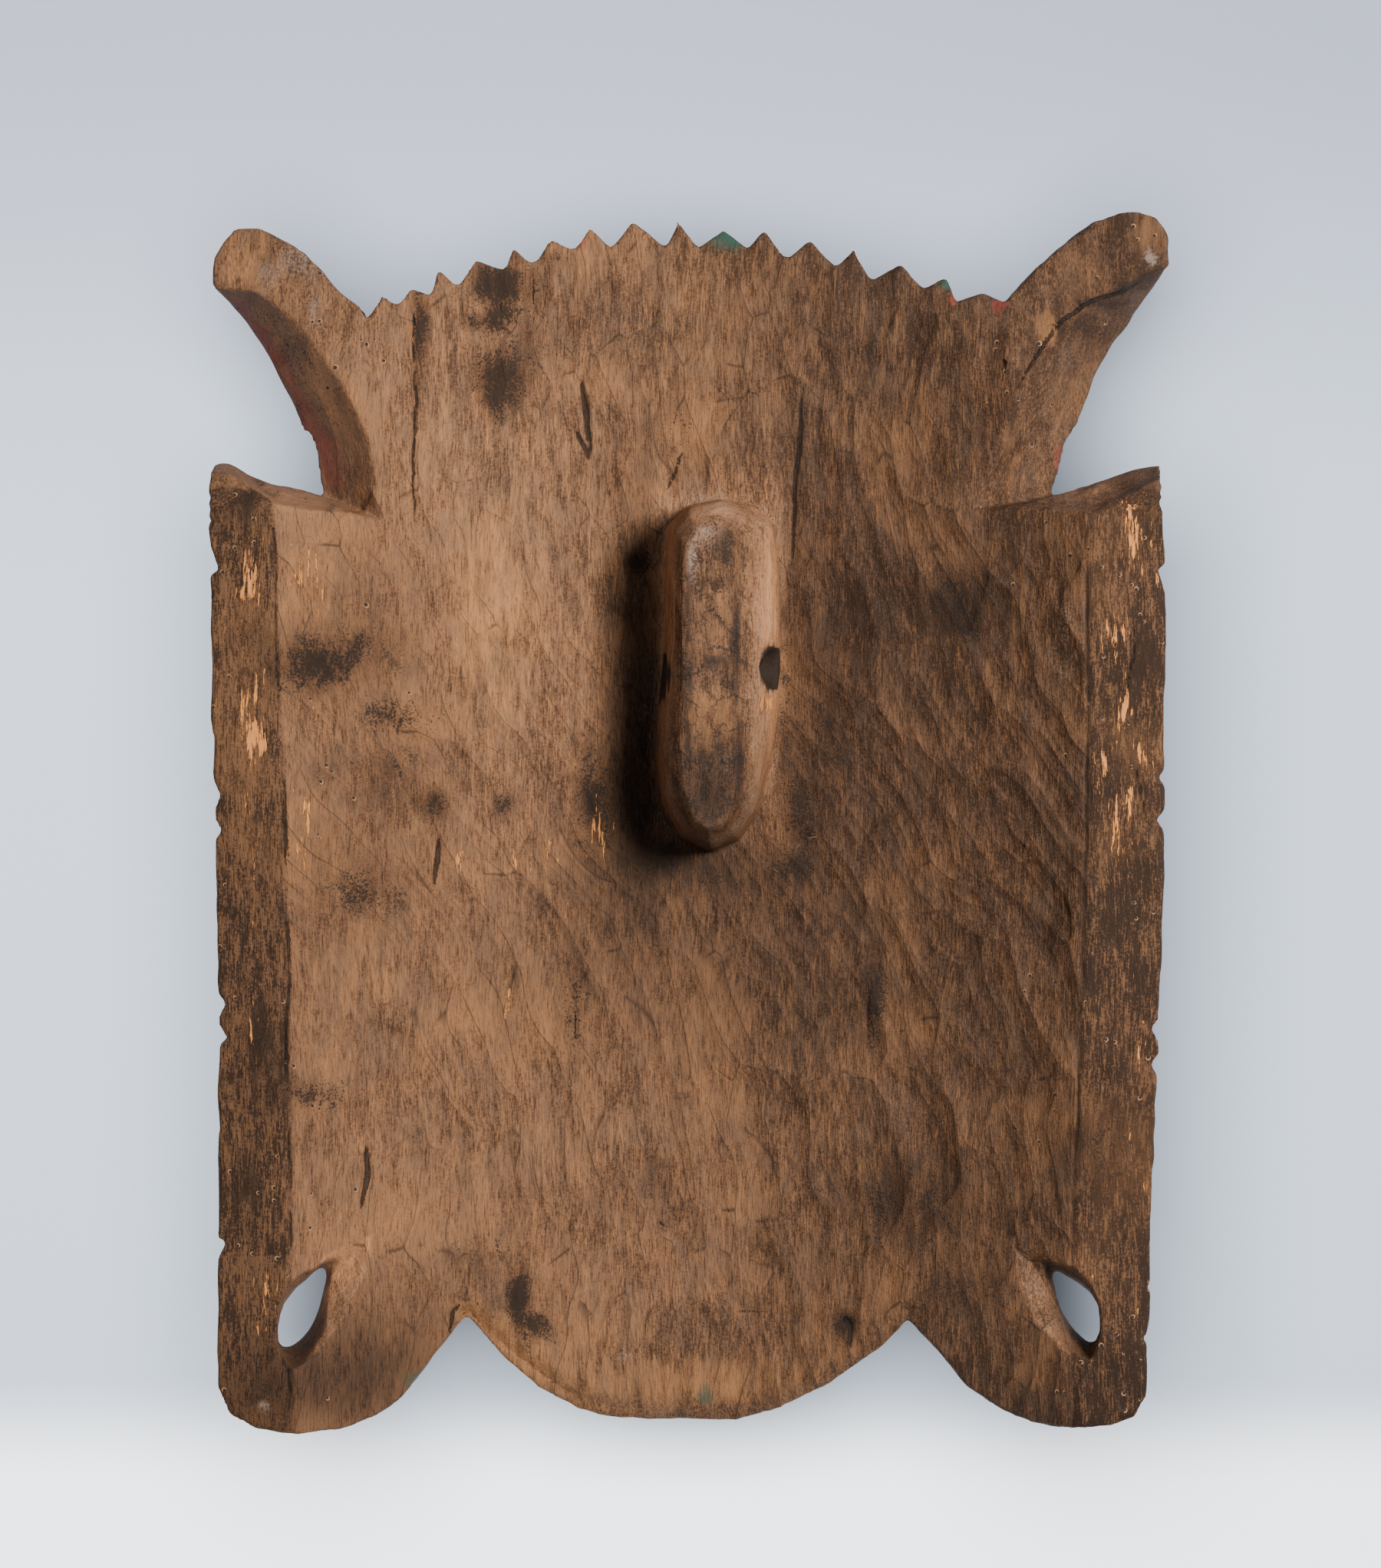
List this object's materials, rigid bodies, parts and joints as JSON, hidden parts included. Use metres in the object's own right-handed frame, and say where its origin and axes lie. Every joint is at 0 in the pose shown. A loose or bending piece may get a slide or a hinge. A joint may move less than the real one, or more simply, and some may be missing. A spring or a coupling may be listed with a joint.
{
  "type": "carved wooden mask",
  "caption": "Large carved wooden mask with horns, a toothed crest, long pierced ears and a drilled lug on its hollow back.",
  "frame": {"origin": "on the surface that the face lies on, below the middle of the mask's plan box", "axes": "+X across the mask, +Y from the chin to the crest, +Z out through the hollow back"},
  "size_m": [0.4967, 0.6314, 0.16],
  "materials": {
    "wood": "matte"
  },
  "bodies": {
    "root": {"mask": "wood"}
  },
  "joints": []
}
